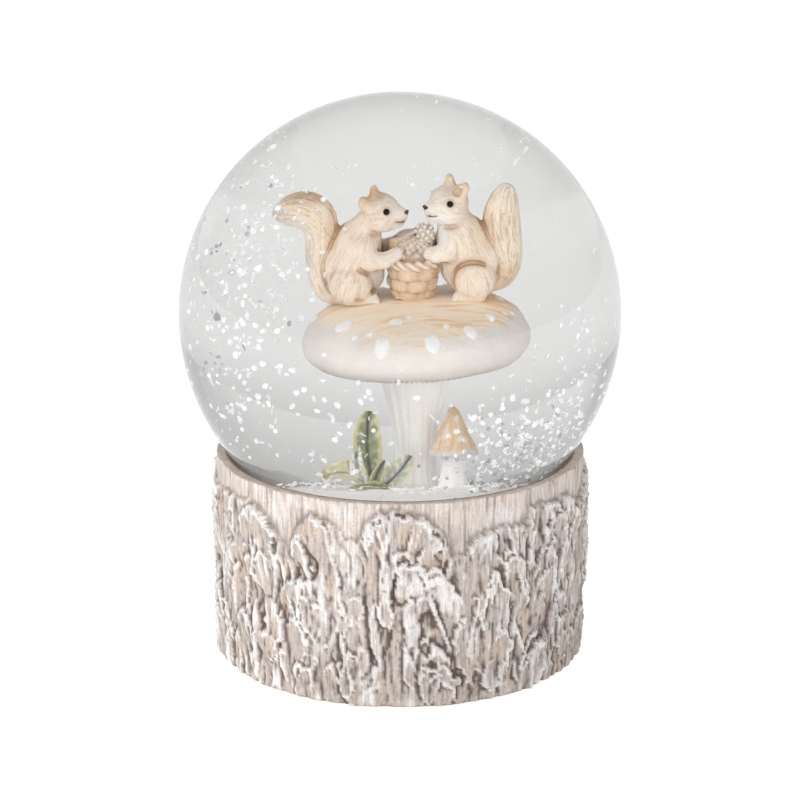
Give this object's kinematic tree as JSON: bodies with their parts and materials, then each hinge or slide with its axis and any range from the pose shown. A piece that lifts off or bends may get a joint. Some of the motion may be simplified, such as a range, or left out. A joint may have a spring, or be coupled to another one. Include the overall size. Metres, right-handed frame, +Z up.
{
  "type": "snow globe",
  "caption": "Water-filled glass ball with squirrels on a toadstool and loose snowflakes, on a round whitewashed base that looks like a bark log.",
  "frame": {"origin": "on the resting surface, under the middle of the glass ball", "axes": "+Z up through the ball, -Y towards the front, where the leaf sprig and the little mushroom stand; +X to the viewer's right"},
  "size_m": [0.0998, 0.0998, 0.1291],
  "materials": {
    "whitewashed_resin": "cast resin, taupe with a dry-brushed white wash",
    "grey_board": "pressed board",
    "green_felt": "felt",
    "amber_glue": "cured glue",
    "clear_glass": "clear blown glass",
    "black_rubber": "moulded rubber",
    "clear_sealant": "silicone bead",
    "white_resin": "painted resin, satin",
    "cream_resin": "painted resin, cream with a brushed tan top",
    "squirrel_paint": "painted resin, cream and tan with carved fur",
    "tan_resin": "painted resin, woven",
    "nut_brown": "painted resin, frosted",
    "orange_paint": "painted resin, brushed orange",
    "leaf_paint": "painted resin, green with white frosting",
    "clear_liquid": "clear liquid",
    "white_flake": "thin plastic flakes"
  },
  "bodies": {
    "globe": {"bark_base": "whitewashed_resin", "bottom_plate": "grey_board", "felt_pad": "green_felt", "glue_ring": "amber_glue", "glass_globe": "clear_glass", "rubber_stopper": "black_rubber", "sealant_bead": "clear_sealant", "snow_ground": "white_resin", "mushroom_stem": "white_resin", "mushroom_cap": "cream_resin", "squirrel_left": "squirrel_paint", "squirrel_right": "squirrel_paint", "nut_basket": "tan_resin", "nut_pile": "nut_brown", "little_mushroom_stem": "white_resin", "little_mushroom_cap": "orange_paint", "leaf_upright": "leaf_paint", "leaf_frosted": "leaf_paint", "leaf_centre": "leaf_paint", "leaf_right": "leaf_paint", "leaf_left": "leaf_paint", "leaf_front": "leaf_paint"},
    "snow": {"liquid_fill": "clear_liquid", "snowflake_01": "white_flake", "snowflake_02": "white_flake", "snowflake_03": "white_flake", "snowflake_04": "white_flake", "snowflake_05": "white_flake", "snowflake_06": "white_flake", "snowflake_07": "white_flake", "snowflake_08": "white_flake", "snowflake_09": "white_flake", "snowflake_10": "white_flake", "snowflake_11": "white_flake", "snowflake_12": "white_flake", "snowflake_13": "white_flake", "snowflake_14": "white_flake", "snowflake_15": "white_flake", "snowflake_16": "white_flake", "snowflake_17": "white_flake", "snowflake_18": "white_flake", "snowflake_19": "white_flake", "snowflake_20": "white_flake", "snowflake_21": "white_flake", "snowflake_22": "white_flake", "snowflake_23": "white_flake", "snowflake_24": "white_flake"}
  },
  "joints": [
    {"name": "snow_swirl", "type": "hinge", "parent": "globe", "child": "snow", "pos_m": [0, 0, 0.0791], "axis": [0, 0, 1], "continuous": true}
  ]
}
